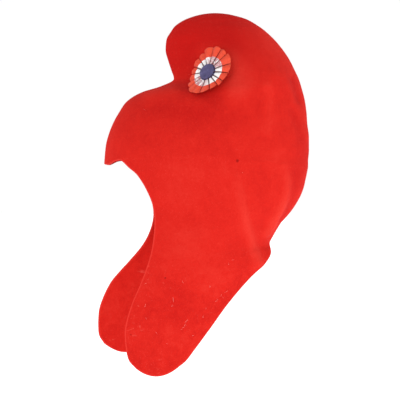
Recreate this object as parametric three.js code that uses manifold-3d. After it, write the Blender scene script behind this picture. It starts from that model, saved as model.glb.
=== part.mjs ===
// Phrygian cap of red felt: two mirrored halves sewn along the crest, each cut in
// one piece with its cheek flap, and a pleated tricolour cockade on the left side, which
// stands on a short post behind it.
// Millimetres, +Z up, the wearer faces -Y and the wearer's left is +X.
// The origin is where the top of the wearer's head bears inside the crown.

import * as THREE from 'three';
import { mergeVertices } from 'three/addons/utils/BufferGeometryUtils.js';
import Module from 'manifold-3d';

const wasm = await Module();
wasm.setup();

// ---- driving dimensions -------------------------------------------------------

const feltThickness = 2.2;
const seamGap = 0.3;            // between the two halves along the crest
const columnsAcross = 18;       // cells from the face edge to the nape edge
const rowsPerSection = 2;       // cells from one section to the next
const edgeCrowding = 0.7;       // how far the cells close up towards both edges, from 0 to 1
const foldFade = 25;            // folds flatten out where the side is nearer the middle than this

// The tab that hangs at the middle of the brow, which fades out to each side and above. And
// the forward swing of the right cheek flap, from its top height to its bottom one.
const brow = { drop: 6.3, wholeTo: 17, noneFrom: 42, top: -72 };
const swing = { degrees: 8, forward: 22, pivotY: -40, pivotZ: -190, top: -150, bottom: -255 };

const cockade = {
  centre: [55.1, -1.2, 7.6],
  facing: [0.71, -0.585, 0.385],
  radius: 30,
  lean: 70,                         // the ruffle is longest at this angle from its nape side
  stretch: 1.5,                     // and by so much
  narrowing: 6,                     // across the lean it is narrower by so much
  pleats: 16,
  pleatHeight: 2,
  pleatClimb: 2 / 3,            // the share of a pleat that rises before it folds back
  thickness: 0.9,
  droop: { nape: 6, above: -1, face: 4, below: -4 },  // the ruffle's edge bends back so far
  gap: 0.36,
  buttonRadius: 9.8,
  buttonEdge: 0.8,
  buttonCrown: 1.3,
};
// The post of rolled felt that carries the cockade: it reaches back from just behind the
// ribbon to the crown, and its length is what it has before the crown cuts it.
const post = { radius: 5, behindRibbon: 0.55, length: 16, gap: 0.36, segments: 24 };
const ribbonRings = [0.12, 0.4, 0.7, 1];    // as shares of the cockade's radius
const stepsPerPleat = 3;
const buttonSegments = 32;
const domeSteps = 4;

// The sections of the left half, from the crest down to the tip of the flap. Each runs
// from the face edge to the nape edge. A lateral place of 0 is on the crest seam, and
// anything else is a free edge. The arch lifts the middle of a section, and the width is
// how far its widest point, which lies that share of the way back, stands from the middle.
// A ridge of 0.5 rounds the section off at the seam, and more draws it to a sharper edge.
const sectionColumns =
  ['faceY', 'faceZ', 'faceX', 'napeY', 'napeZ', 'napeX', 'arch', 'width', 'widest', 'ridge'];
const smoothedColumns = ['width', 'widest', 'ridge'];
const sectionRows = [
  [-15, 81, 0, 36, 81, 0, 4, 0, 0.5, 0.65],             // top of the crest
  [-28, 75.5, 0, 50, 76.5, 0, 4, 12, 0.52, 0.68],
  [-38, 69, 0, 62.5, 69.2, 0, 3, 20, 0.58, 0.72],       // top of the bulb
  [-44, 61, 0, 71, 63, 0, 2, 27.5, 0.62, 0.76],
  [-49, 52, 0, 82, 52.8, 0, 1, 35, 0.65, 0.8],
  [-50, 40, 0, 92, 41, 0, 0, 42.5, 0.67, 0.83],         // front of the bulb
  [-47, 28, 0, 100, 29, 0, 0, 49.5, 0.68, 0.84],
  [-43, 16, 0, 106, 17, 0, 0, 56, 0.68, 0.83],
  [-40, 6, 0, 111, 6, 0, 0, 61, 0.67, 0.79],            // notch under the bulb
  [-55, -3, 0, 115, -7, 0, 0, 65, 0.65, 0.7],
  [-79, -11, 0, 118, -19, 0, 0, 68.5, 0.61, 0.62],      // top of the forehead
  [-95, -21, 0, 120, -33, 0, 0, 72, 0.575, 0.57],
  [-104.4, -34, 0, 121, -48, 0, 0, 75, 0.555, 0.55],
  [-113, -50, 0, 123, -64, 0, 0, 77.5, 0.55, 0.545],
  [-119.5, -69, 0, 123, -79, 0, 1, 79, 0.55, 0.54],
  [-122.5, -88.5, 0, 122, -93, 0, 5, 79.9, 0.55, 0.54], // lower end of the brow seam
  [-116.5, -91, 22, 122, -99, 0, 4, 79.95, 0.55, 0.54],
  [-104, -91.5, 38.6, 121, -105, 0, 3, 80, 0.55, 0.54],
  [-92, -101, 49.4, 119, -115, 0, 2, 80, 0.55, 0.54],
  [-82, -110, 56, 116, -127, 0, 1, 79.6, 0.55, 0.54],
  [-72, -126, 62, 110, -140, 0, 0, 78.8, 0.545, 0.54],  // temple
  [-65, -144, 64, 100, -155, 0, 0, 77.8, 0.54, 0.54],
  [-63, -162, 65, 88.5, -168, 0, 0, 76.8, 0.535, 0.54],
  [-64, -180, 65, 82, -178, 0, 0, 75.9, 0.53, 0.54],    // lower end of the nape seam
  [-67, -198, 65, 74, -190, 18, 0, 75, 0.52, 0.54],
  [-73, -217, 65, 74, -198, 30, 0, 74.2, 0.51, 0.54],
  [-80, -235, 65, 67, -210, 42, 0, 73.4, 0.5, 0.54],    // top of the flap
  [-88, -253, 65, 46, -229, 52, 0, 72.5, 0.5, 0.54],
  [-94, -271, 65, 22, -256, 59, 0, 71.6, 0.5, 0.54],
  [-97, -289, 64, 1, -284, 61, 0, 70.6, 0.5, 0.54],
  [-95.6, -307, 64, -18, -309, 62, -2, 69.6, 0.5, 0.54],
  [-92.4, -320, 64, -27.3, -321, 63, -5, 68.9, 0.5, 0.54],
  [-85, -329, 64, -36, -328, 64, -9, 68.4, 0.5, 0.54],    // tip of the flap
];

// Folds in the felt of a half. Each is a soft ridge from one point of the side to
// another, or a groove where its rise is negative.
const foldColumns = ['fromY', 'fromZ', 'toY', 'toZ', 'halfWidth', 'rise'];
const foldRows = [
  [-42, 5, 6, -20, 12, -5.5],       // valley under the bulb
  [-22, 42, -16, 12, 11, -2],       // dent before the cockade, and the fullness behind it
  [28, -6, 30, 24, 18, 3.5],
  [-70, -16, -40, -10, 9, 1.5],     // forehead, just below the valley
  [92, -105, 82, -176, 6, 3],       // folds that rise from the nape
  [38, -125, 66, -212, 7, 2.5],
  [70, -100, 72, -165, 5, -1.5],
  [108, -110, 96, -165, 6, -2.5],
  [100, 0, 112, -24, 7, -2.5],      // puckers beside the seam at the back
  [106, -36, 118, -62, 6, -1.5],
];

// ---- helpers --------------------------------------------------------------------

const asRecords = (columns, rows) =>
  rows.map((row) => Object.fromEntries(columns.map((name, index) => [name, row[index]])));

const sections = asRecords(sectionColumns, sectionRows);
const folds = asRecords(foldColumns, foldRows);
const browSeamEnd = sections.findLast((section) => section.faceX === 0);

// The slope at a row between two others, so that no curve passes its rows' values.
function slopeBetween(before, after) {
  if (before * after <= 0) return 0;
  const most = 2 * Math.min(Math.abs(before), Math.abs(after));
  return Math.sign(before) * Math.min(Math.abs(before + after) / 2, most);
}

// A column's value at a place counted in sections from the crest. The edges pass through
// every row, and the cross-section's own values are smoothed between the rows.
function columnAt(name, place) {
  const last = sections.length - 1;
  const start = Math.min(Math.floor(place), last - 1);
  const t = place - start;
  const here = sections[start][name];
  const ahead = sections[start + 1][name];
  const before = start > 0 ? sections[start - 1][name] : 2 * here - ahead;
  const after = start + 2 <= last ? sections[start + 2][name] : 2 * ahead - here;
  if (smoothedColumns.includes(name)) {
    return (before * (1 - t) ** 3 + here * (3 * t ** 3 - 6 * t * t + 4)
      + ahead * (3 * t * (1 + t - t * t) + 1) + after * t ** 3) / 6;
  }
  const leaving = slopeBetween(here - before, ahead - here);
  const arriving = slopeBetween(ahead - here, after - ahead);
  return here * (1 + 2 * t) * (1 - t) ** 2 + ahead * t * t * (3 - 2 * t)
    + leaving * t * (1 - t) ** 2 - arriving * t * t * (1 - t);
}

// Height of a section's profile, from 0 at the seams to 1 at its widest.
function profile(place, widest, ridge) {
  const side = place < widest ? 1 - place / widest : (place - widest) / (1 - widest);
  return Math.max(1 - side * side, 0) ** ridge;
}

// How far along the profile its height reaches a given share of the widest.
function trimOf(share, length, ridge) {
  const height = Math.min(Math.max(share, 0), 1);
  return length * (1 - Math.sqrt(1 - height ** (1 / ridge)));
}

function foldRise(y, z) {
  let rise = 0;
  for (const fold of folds) {
    const alongY = fold.toY - fold.fromY;
    const alongZ = fold.toZ - fold.fromZ;
    const lengthSquared = alongY * alongY + alongZ * alongZ;
    const share = ((y - fold.fromY) * alongY + (z - fold.fromZ) * alongZ) / lengthSquared;
    const nearest = Math.min(Math.max(share, 0), 1);
    const away = Math.hypot(
      y - fold.fromY - nearest * alongY,
      z - fold.fromZ - nearest * alongZ,
    );
    rise += fold.rise * Math.exp(-((away / fold.halfWidth) ** 2));
  }
  return rise;
}

// How far the tab at the middle of the brow pulls the felt down.
function tabDrop(x, y, z) {
  if (y > 0) return 0;
  const near = THREE.MathUtils.smoothstep(-z, -brow.top, -browSeamEnd.faceZ);
  return brow.drop * near * (1 - THREE.MathUtils.smoothstep(x, brow.wholeTo, brow.noneFrom));
}

// Where each section would meet the middle plane if its felt went on past the free edges.
for (const section of sections) {
  const { faceX, napeX, width, widest, ridge } = section;
  const faceTrim = width > 0 ? trimOf(faceX / width, widest, ridge) : 0;
  const napeTrim = width > 0 ? trimOf(napeX / width, 1 - widest, ridge) : 0;
  const whole = (section.napeY - section.faceY) / (1 - faceTrim - napeTrim);
  section.foreY = section.faceY - faceTrim * whole;
  section.backY = section.foreY + whole;
}

// A point of the felt's outer face on the left half: across runs from the face edge (0)
// to the nape edge (1), and down from the crest (0) to the flap's tip (1).
function feltPoint(across, down) {
  const place = down * (sections.length - 1);
  const faceY = columnAt('faceY', place);
  const napeY = columnAt('napeY', place);
  const foreY = columnAt('faceX', place) > 0 ? columnAt('foreY', place) : faceY;
  const backY = columnAt('napeX', place) > 0 ? columnAt('backY', place) : napeY;
  const crowded = (1 - Math.cos(Math.PI * across)) / 2;
  const eased = across + edgeCrowding * (crowded - across);
  const lift = columnAt('arch', place) * (1 - (1 - 2 * eased) ** 2);
  const faceZ = columnAt('faceZ', place);
  const y = faceY + (napeY - faceY) * eased;
  const z = faceZ + (columnAt('napeZ', place) - faceZ) * eased + lift;
  const share = Math.min(Math.max((y - foreY) / (backY - foreY), 0), 1);
  const height = profile(share, columnAt('widest', place), columnAt('ridge', place));
  const flat = columnAt('width', place) * height;
  const x = Math.max(flat + foldRise(y, z) * Math.min(flat / foldFade, 1), 0);
  return new THREE.Vector3(x + seamGap / 2, y, z - tabDrop(x, y, z));
}

// Swings the lower part of the right half forward about the cheek.
function swingForward(point) {
  const share = THREE.MathUtils.smoothstep(-point.z, -swing.top, -swing.bottom);
  const angle = -THREE.MathUtils.degToRad(swing.degrees) * share;
  const y = point.y - swing.pivotY;
  const z = point.z - swing.pivotZ;
  point.y = swing.pivotY + y * Math.cos(angle) - z * Math.sin(angle) - swing.forward * share;
  point.z = swing.pivotZ + y * Math.sin(angle) + z * Math.cos(angle);
}

// The places round a grid's edge: along the crest, down the nape, back along the tip and
// up the face.
function rimOf(rows, columns) {
  const rim = [];
  for (let column = 0; column < columns - 1; column++) rim.push([0, column]);
  for (let row = 0; row < rows - 1; row++) rim.push([row, columns - 1]);
  for (let column = columns - 1; column > 0; column--) rim.push([rows - 1, column]);
  for (let row = rows - 1; row > 0; row--) rim.push([row, 0]);
  return rim;
}

// Joins an outer and an inner grid of points into one closed wall.
function wallBetween(outer, inner) {
  const rows = outer.length;
  const columns = outer[0].length;
  const positions = [];
  for (const grid of [outer, inner]) {
    for (const point of grid.flat()) positions.push(point.x, point.y, point.z);
  }
  const outside = ([row, column]) => row * columns + column;
  const inside = (corner) => rows * columns + outside(corner);
  const index = [];
  const quad = (a, b, c, d) => index.push(a, b, c, a, c, d);
  for (let row = 0; row < rows - 1; row++) {
    for (let column = 0; column < columns - 1; column++) {
      const corners = [[row, column], [row + 1, column], [row + 1, column + 1], [row, column + 1]];
      quad(...corners.map(outside));
      quad(...corners.reverse().map(inside));
    }
  }
  const rim = rimOf(rows, columns);
  rim.forEach((corner, step) => {
    const next = rim[(step + 1) % rim.length];
    quad(outside(corner), outside(next), inside(next), inside(corner));
  });
  const geometry = new THREE.BufferGeometry();
  geometry.setAttribute('position', new THREE.Float32BufferAttribute(positions, 3));
  geometry.setIndex(index);
  return geometry;
}

function feltNormal(grid, row, column) {
  const lastRow = grid.length - 1;
  const lastColumn = grid[row].length - 1;
  const down = grid[Math.min(row + 1, lastRow)][column].clone()
    .sub(grid[Math.max(row - 1, 0)][column]);
  const across = grid[row][Math.min(column + 1, lastColumn)].clone()
    .sub(grid[row][Math.max(column - 1, 0)]);
  return down.cross(across).normalize();
}

// The inner face lies one thickness in along the normal, and on the crest seam it stays
// in the plane where the two halves meet.
function innerGrid(outer) {
  const inner = outer.map((line, row) => line.map((point, column) => {
    const moved = point.clone().addScaledVector(feltNormal(outer, row, column), -feltThickness);
    moved.x = Math.max(moved.x, seamGap / 2);
    return moved;
  }));
  const rim = rimOf(outer.length, outer[0].length);
  rim.forEach(([row, column], step) => {
    const point = outer[row][column];
    if (point.x > seamGap) return;
    const [nextRow, nextColumn] = rim[(step + 1) % rim.length];
    const [priorRow, priorColumn] = rim[(step + rim.length - 1) % rim.length];
    const along = outer[nextRow][nextColumn].clone().sub(outer[priorRow][priorColumn]);
    const inwards = new THREE.Vector3(0, along.z, -along.y).normalize();
    inner[row][column].copy(point).addScaledVector(inwards, feltThickness);
  });
  return inner;
}

// ---- felt halves ------------------------------------------------------------------

function feltHalf(side) {
  const rows = (sections.length - 1) * rowsPerSection;
  const outer = [];
  for (let row = 0; row <= rows; row++) {
    const line = [];
    for (let column = 0; column <= columnsAcross; column++) {
      line.push(feltPoint(column / columnsAcross, row / rows));
    }
    outer.push(line);
  }
  const inner = innerGrid(outer);
  if (side > 0) return wallBetween(outer, inner);
  for (const point of [outer, inner].flat(2)) {
    swingForward(point);
    point.x *= -1;
  }
  return wallBetween(inner, outer);
}

// ---- cockade ----------------------------------------------------------------------

// A pleat climbs slowly and drops back quickly, as a pressed knife pleat does.
function pleatRise(turn) {
  const share = turn * cockade.pleats - Math.floor(turn * cockade.pleats);
  const climb = cockade.pleatClimb;
  return share < climb ? share / climb : (1 - share) / (1 - climb);
}

// How far the ruffle's edge bends back to lie over the felt, at a turn from its nape side.
function edgeDroop(angle) {
  const across = Math.cos(angle);
  const up = Math.sin(angle);
  const { nape, above, face, below } = cockade.droop;
  return across * across * (across > 0 ? nape : face) + up * up * (up > 0 ? above : below);
}

// The ruffle is uneven only towards its edge. The share is of the cockade's radius.
function ribbonRadius(angle, share) {
  const from = angle - THREE.MathUtils.degToRad(cockade.lean);
  const uneven = cockade.stretch * Math.cos(from) - cockade.narrowing * Math.sin(from) ** 2;
  return cockade.radius * share + uneven * share ** 4;
}

// The lift is along the cockade's facing.
function ribbonPoint(turn, share, lift) {
  const angle = 2 * Math.PI * turn;
  const radius = ribbonRadius(angle, share);
  const out = radius / cockade.radius;
  const height = (cockade.pleatHeight * pleatRise(turn) - edgeDroop(angle) * out) * out;
  return [radius * Math.cos(angle), radius * Math.sin(angle), height + lift];
}

function cockadeRibbon() {
  const steps = cockade.pleats * stepsPerPleat;
  const positions = [0, 0, cockade.thickness, 0, 0, 0];
  const top = 0;
  const bottom = 1;
  const rings = ribbonRings.length;
  const onRing = (ring, step, side) => 2 + ((side * rings + ring) * steps) + (step % steps);
  for (const lift of [cockade.thickness, 0]) {
    for (const share of ribbonRings) {
      for (let step = 0; step < steps; step++) {
        positions.push(...ribbonPoint(step / steps, share, lift));
      }
    }
  }
  const index = [];
  const outerRing = rings - 1;
  for (let step = 0; step < steps; step++) {
    index.push(top, onRing(0, step, 0), onRing(0, step + 1, 0));
    index.push(bottom, onRing(0, step + 1, 1), onRing(0, step, 1));
    for (let ring = 0; ring < outerRing; ring++) {
      const a = [onRing(ring, step, 0), onRing(ring + 1, step, 0)];
      const b = [onRing(ring, step + 1, 0), onRing(ring + 1, step + 1, 0)];
      index.push(a[0], a[1], b[1], a[0], b[1], b[0]);
      const c = [onRing(ring, step, 1), onRing(ring + 1, step, 1)];
      const d = [onRing(ring, step + 1, 1), onRing(ring + 1, step + 1, 1)];
      index.push(c[0], d[1], c[1], c[0], d[0], d[1]);
    }
    const upper = [onRing(outerRing, step, 0), onRing(outerRing, step + 1, 0)];
    const lower = [onRing(outerRing, step, 1), onRing(outerRing, step + 1, 1)];
    index.push(upper[0], lower[0], lower[1], upper[0], lower[1], upper[1]);
  }
  const geometry = new THREE.BufferGeometry();
  geometry.setAttribute('position', new THREE.Float32BufferAttribute(positions, 3));
  geometry.setIndex(index);
  return geometry;
}

function cockadeButton() {
  const outline = [new THREE.Vector2(0, 0), new THREE.Vector2(cockade.buttonRadius, 0)];
  for (let step = 0; step < domeSteps; step++) {
    const angle = (step / domeSteps) * (Math.PI / 2);
    outline.push(new THREE.Vector2(
      cockade.buttonRadius * Math.cos(angle),
      cockade.buttonEdge + cockade.buttonCrown * Math.sin(angle),
    ));
  }
  outline.push(new THREE.Vector2(0, cockade.buttonEdge + cockade.buttonCrown));
  return new THREE.LatheGeometry(outline, buttonSegments).rotateX(Math.PI / 2);
}

// ---- post ---------------------------------------------------------------------------

function asSolid(geometry) {
  const mesh = new wasm.Mesh({
    numProp: 3,
    vertProperties: geometry.attributes.position.array,
    triVerts: new Uint32Array(geometry.index.array),
  });
  return new wasm.Manifold(mesh);
}

// What is left of a round bar outside the crown, in the cap's own frame.
function cockadePost(crown, place, direction) {
  const round = new THREE.CylinderGeometry(post.radius, post.radius, post.length, post.segments)
    .rotateX(Math.PI / 2)
    .translate(0, 0, -post.behindRibbon - post.length / 2)
    .applyMatrix4(place);
  round.deleteAttribute('normal');
  round.deleteAttribute('uv');
  const clear = direction.clone().multiplyScalar(post.gap);
  const pieces = asSolid(mergeVertices(round))
    .subtract(asSolid(crown).translate([clear.x, clear.y, clear.z]))
    .decompose();
  pieces.sort((a, b) => b.volume() - a.volume());
  const mesh = pieces[0].getMesh();
  const geometry = new THREE.BufferGeometry();
  geometry.setAttribute('position', new THREE.BufferAttribute(mesh.vertProperties, 3));
  geometry.setIndex(new THREE.BufferAttribute(mesh.triVerts, 1));
  return geometry;
}

// ---- the cap ------------------------------------------------------------------------

const cloth = (color, roughness) =>
  new THREE.MeshStandardMaterial({ color, roughness, metalness: 0 });

const cap = new THREE.Group();

const halves = {};
for (const [name, side] of [['left_half', 1], ['right_half', -1]]) {
  halves[name] = new THREE.Mesh(feltHalf(side), cloth(0xc8201c, 0.95));
  halves[name].name = name;
  cap.add(halves[name]);
}

const facing = new THREE.Vector3(...cockade.facing).normalize();
const toNape = new THREE.Vector3(0, 0, 1).cross(facing).normalize();
const rosette = new THREE.Group();
rosette.position.set(...cockade.centre);
rosette.quaternion.setFromRotationMatrix(
  new THREE.Matrix4().makeBasis(toNape, facing.clone().cross(toNape), facing),
);

const ribbon = new THREE.Mesh(cockadeRibbon(), cloth(0xe8503c, 0.6));
ribbon.name = 'cockade_ribbon';
rosette.add(ribbon);

const button = new THREE.Mesh(cockadeButton(), cloth(0x3a3a78, 0.7));
button.name = 'cockade_button';
const buttonShare = cockade.buttonRadius / cockade.radius;
const highestEdge = -Math.min(...Object.values(cockade.droop));
button.position.z = cockade.thickness + cockade.gap
  + (cockade.pleatHeight + highestEdge * buttonShare) * buttonShare;
rosette.add(button);

cap.add(rosette);

rosette.updateMatrix();
const shank = new THREE.Mesh(
  cockadePost(halves.left_half.geometry, rosette.matrix, facing),
  cloth(0xa81a16, 0.95),
);
shank.name = 'cockade_post';
cap.add(shank);

export default cap;
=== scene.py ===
# A Phrygian cap of red felt: two halves sewn along the crest, each cut in one piece with
# its cheek flap, and a pleated tricolour cockade on the wearer's left.
import bpy
import bmesh
import math
import random
from mathutils import Matrix, Vector, noise
from mathutils.kdtree import KDTree


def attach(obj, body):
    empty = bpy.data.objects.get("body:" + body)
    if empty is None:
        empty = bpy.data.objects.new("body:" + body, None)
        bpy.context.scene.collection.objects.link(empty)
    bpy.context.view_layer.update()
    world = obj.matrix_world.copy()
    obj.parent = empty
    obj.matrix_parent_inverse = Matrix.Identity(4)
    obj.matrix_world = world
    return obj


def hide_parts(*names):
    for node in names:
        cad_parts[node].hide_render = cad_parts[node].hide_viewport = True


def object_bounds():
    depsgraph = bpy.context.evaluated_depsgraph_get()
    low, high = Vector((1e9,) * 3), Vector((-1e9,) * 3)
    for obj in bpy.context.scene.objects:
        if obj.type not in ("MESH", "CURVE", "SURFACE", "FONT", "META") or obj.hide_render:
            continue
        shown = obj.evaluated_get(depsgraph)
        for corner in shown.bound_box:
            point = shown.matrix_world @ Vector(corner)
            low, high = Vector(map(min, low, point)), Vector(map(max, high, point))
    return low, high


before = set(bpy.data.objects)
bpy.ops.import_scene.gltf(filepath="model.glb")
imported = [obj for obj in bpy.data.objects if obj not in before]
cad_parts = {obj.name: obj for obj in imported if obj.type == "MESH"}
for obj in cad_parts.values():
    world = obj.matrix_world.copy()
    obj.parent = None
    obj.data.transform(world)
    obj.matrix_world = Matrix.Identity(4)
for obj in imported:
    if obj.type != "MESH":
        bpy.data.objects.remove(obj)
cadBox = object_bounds()
mm = 0.001


class Wire:
    # one output socket; sums on wires add their Math nodes
    def __init__(self, shader, socket):
        self.shader = shader
        self.socket = socket

    def maths(self, operation, first, second):
        return self.shader.node("ShaderNodeMath", {"operation": operation}, {0: first, 1: second})

    def __add__(self, other):
        return self.maths("ADD", self, other)

    def __sub__(self, other):
        return self.maths("SUBTRACT", self, other)

    def __rsub__(self, other):
        return self.maths("SUBTRACT", other, self)

    def __mul__(self, other):
        return self.maths("MULTIPLY", self, other)

    def apply(self, operation, other=0.0):
        return self.maths(operation, self, other)

    __radd__ = __add__
    __rmul__ = __mul__


class Shader:
    def __init__(self, name):
        self.material = bpy.data.materials.new(name)
        self.material.use_nodes = True
        self.tree = self.material.node_tree
        self.tree.nodes.clear()

    def node(self, kind, settings=None, sockets=None, output=0):
        made = self.tree.nodes.new(kind)
        for name, value in (settings or {}).items():
            if name == "stops":
                ramp = made.color_ramp.elements
                while len(ramp) < len(value):
                    ramp.new(1)
                for stop, (place, colour) in zip(ramp, value):
                    stop.position = place
                    stop.color = (*colour, 1)
            else:
                setattr(made, name, value)
        for name, value in (sockets or {}).items():
            if isinstance(value, Wire):
                self.tree.links.new(value.socket, made.inputs[name])
            elif value is not None:
                made.inputs[name].default_value = value
        return Wire(self, made.outputs[output])

    def parts(self, vector):
        split = self.tree.nodes.new("ShaderNodeSeparateXYZ")
        self.tree.links.new(vector.socket, split.inputs[0])
        return [Wire(self, output) for output in split.outputs]

    def mix(self, share, first, second):
        first, second = (colour if isinstance(colour, Wire) else (*colour, 1)
                         for colour in (first, second))
        return self.node("ShaderNodeMix", {"data_type": "RGBA"},
                         {0: share, 6: first, 7: second}, output=2)

    def ramp(self, value, stops):
        return self.node("ShaderNodeValToRGB", {"stops": stops}, {0: value})

    def distance(self, place, point):
        return self.node("ShaderNodeVectorMath", {"operation": "DISTANCE"},
                         {0: place, 1: point}, output=1)

    def between(self, value, low, high):
        return self.node("ShaderNodeMapRange", {"interpolation_type": "SMOOTHSTEP"},
                         {0: value, 1: low, 2: high, 3: 0, 4: 1})

    def noise(self, place, scale, detail=3, roughness=0.5, distortion=0):
        return self.node("ShaderNodeTexNoise", None,
                         {"Vector": place, "Scale": scale, "Detail": detail,
                          "Roughness": roughness, "Distortion": distortion})

    def turned(self, place, angles, stretch):
        return self.node("ShaderNodeMapping", None,
                         {"Vector": place, "Rotation": angles, "Scale": stretch})

    def bump(self, height, strength, distance, normal=None):
        return self.node("ShaderNodeBump", None,
                         {"Height": height, "Strength": strength, "Distance": distance,
                          "Normal": normal})

    def finish(self, sockets):
        surface = self.node("ShaderNodeBsdfPrincipled", None, sockets)
        out = self.tree.nodes.new("ShaderNodeOutputMaterial")
        self.tree.links.new(surface.socket, out.inputs["Surface"])
        return self.material


# where the rosette's base lies on the left of the crown, in millimetres, and which way it faces
cockade = {
    "centre": (55.1, -1.2, 7.6),
    "facing": (0.71, -0.585, 0.385),
    "radius": 30,
}

# the felt, in millimetres
felt = {
    "thickness": 2.2,
    "seamGap": 0.06,
    "columns": 140,
    "rows": 300,
    "freeSpacing": 0.8,     # columns lie evenly at a cut edge and crowd at a seam
    "freeFrom": 40,         # an edge this far from the middle plane is wholly a cut one
    "foldFade": 25,         # folds flatten out where the side is nearer the middle than this
    "tabDrop": 6.3,         # how far the felt hangs at the middle of the brow
    "tabSides": (17, 42),
    "tabTop": -72,
    "seamRound": 2.4,       # radius with which the felt turns in at the crest seam
    "allowance": 7,
    "allowanceSteps": 4,
    "waves": [
        # size, height
        (70, 1.1),
        (26, 0.35),
        (9, 0.1),
    ],
    "waveSeeds": {1: (3.1, 7.7, 1.3), -1: (41.2, 5.9, 17.4)},
    "calmSeam": 16,         # they grow to their full height over this reach from the seam
    "calmCockade": (30, 55),    # and between these distances from the cockade
    "calmest": 0.15,        # their share under the cockade
    "foldRubAndShadeHeight": 5,        # what rises is painted paler and what sinks darker, by its share of this height: partly rubbed felt, partly painted light and shade on the folds
    "mostFoldRubAndShade": 0.6,
}

# how the far flap has swung forward below the cheek
swing = {"degrees": 8, "forward": 22, "pivotY": -40, "pivotZ": -190, "top": -150, "bottom": -255}

# The left half's sections from the crest down to the tip of the flap, each from the face
# edge to the nape edge. A lateral place of 0 is on the crest seam.
sectionColumns = ("faceY", "faceZ", "faceX", "napeY", "napeZ", "napeX",
                  "arch", "width", "widest", "ridge")
sectionRows = [
    (-15, 81, 0, 36, 81, 0, 4, 0, 0.5, 0.65),                 # top of the crest
    (-28, 75.5, 0, 50, 76.5, 0, 4, 12, 0.52, 0.68),
    (-38, 69, 0, 62.5, 69.2, 0, 3, 20, 0.58, 0.72),           # top of the bulb
    (-44, 61, 0, 71, 63, 0, 2, 27.5, 0.62, 0.76),
    (-49, 52, 0, 82, 52.8, 0, 1, 35, 0.65, 0.8),
    (-50, 40, 0, 92, 41, 0, 0, 42.5, 0.67, 0.83),             # front of the bulb
    (-47, 28, 0, 100, 29, 0, 0, 49.5, 0.68, 0.84),
    (-43, 16, 0, 106, 17, 0, 0, 56, 0.68, 0.83),
    (-40, 6, 0, 111, 6, 0, 0, 61, 0.67, 0.79),                # notch under the bulb
    (-55, -3, 0, 115, -7, 0, 0, 65, 0.65, 0.7),
    (-79, -11, 0, 118, -19, 0, 0, 68.5, 0.61, 0.62),          # top of the forehead
    (-95, -21, 0, 120, -33, 0, 0, 72, 0.575, 0.57),
    (-104.4, -34, 0, 121, -48, 0, 0, 75, 0.555, 0.55),
    (-113, -50, 0, 123, -64, 0, 0, 77.5, 0.55, 0.545),
    (-119.5, -69, 0, 123, -79, 0, 1, 79, 0.55, 0.54),
    (-122.5, -88.5, 0, 122, -93, 0, 5, 79.9, 0.55, 0.54),     # lower end of the brow seam
    (-116.5, -91, 22, 122, -99, 0, 4, 79.95, 0.55, 0.54),
    (-104, -91.5, 38.6, 121, -105, 0, 3, 80, 0.55, 0.54),
    (-92, -101, 49.4, 119, -115, 0, 2, 80, 0.55, 0.54),
    (-82, -110, 56, 116, -127, 0, 1, 79.6, 0.55, 0.54),
    (-72, -126, 62, 110, -140, 0, 0, 78.8, 0.545, 0.54),      # temple
    (-65, -144, 64, 100, -155, 0, 0, 77.8, 0.54, 0.54),
    (-63, -162, 65, 88.5, -168, 0, 0, 76.8, 0.535, 0.54),
    (-64, -180, 65, 82, -178, 0, 0, 75.9, 0.53, 0.54),        # lower end of the nape seam
    (-67, -198, 65, 74, -190, 18, 0, 75, 0.52, 0.54),
    (-73, -217, 65, 74, -198, 30, 0, 74.2, 0.51, 0.54),
    (-80, -235, 65, 67, -210, 42, 0, 73.4, 0.5, 0.54),        # top of the flap
    (-88, -253, 65, 46, -229, 52, 0, 72.5, 0.5, 0.54),
    (-94, -271, 65, 22, -256, 59, 0, 71.6, 0.5, 0.54),
    (-97, -289, 64, 1, -284, 61, 0, 70.6, 0.5, 0.54),
    (-95.6, -307, 64, -18, -309, 62, -2, 69.6, 0.5, 0.54),
    (-92.4, -320, 64, -27.3, -321, 63, -5, 68.9, 0.5, 0.54),
    (-85, -329, 64, -36, -328, 64, -9, 68.4, 0.5, 0.54),      # tip of the flap
]

# Folds and dents. Each runs over the side from one point through a middle one to the last,
# and its rise changes evenly on the way. Less than nothing is a groove. The last column is
# the share of it that the right half has too.
foldColumns = ("fromY", "fromZ", "overY", "overZ", "toY", "toZ", "halfWidth", "rise", "lastRise",
               "mirrored")
foldRows = [
    (-42, 5, -19, -8, 6, -20, 12, -2.4, -2.4, 1),          # valley under the bulb
    (-22, 42, -19, 27, -16, 12, 11, -2, -2, 0.6),          # dent before the cockade
    (28, -6, 29, 9, 30, 24, 18, 2.8, 2.8, 0.8),            # fullness behind it
    (-70, -16, -56, -16, -40, -10, 9, 1.5, 1.5, 0.8),      # forehead, just below the valley
    (-75, -22, -30, -34, 20, -44, 16, -1.2, -1.2, 0.5),
    (85, -98, 88, -134, 67, -176, 5, 0.8, 4.0, 0.7),       # folds that rise from the nape
    (30, -110, 40, -160, 57, -210, 5.5, 0.9, 3.4, 0.6),
    (59, -108, 61, -138, 60, -165, 8, -0.5, -0.8, 1),
    (100, -108, 100, -136, 88, -162, 6, -0.8, -2.2, 0.8),
    (99, 2, 103, -8, 107, -20, 6, -2.2, -2.6, 0.2),        # dents beside the seam at the back
    (97, -36, 103, -52, 108, -66, 6, -1.3, -1, 0),
    (66, -8, 68, -30, 66, -60, 7, 2, 1, 0.4),              # swell behind the crown
    (-40, 62, -37, 40, -38, 20, 7, 0.9, 0.9, 1),           # soft turn down the front of the bulb
    (-20, -190, -6, -240, -30, -290, 22, 1.2, 0.6, 0.8),
]
foldSteps = 8               # short straight runs that stand for each fold's curve
foldReach = 2.6             # how far a fold is felt, in its half widths

feltColours = {
    "body": (0.66, 0.0175, 0.0115),
    "deep": (0.52, 0.0085, 0.007),
    "pale": (0.75, 0.041, 0.028),
    "fibre": (0.84, 0.13, 0.10),
    "cutEdge": (0.82, 0.06, 0.045),
    "dark": (0.26, 0.006, 0.006),
}
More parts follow.
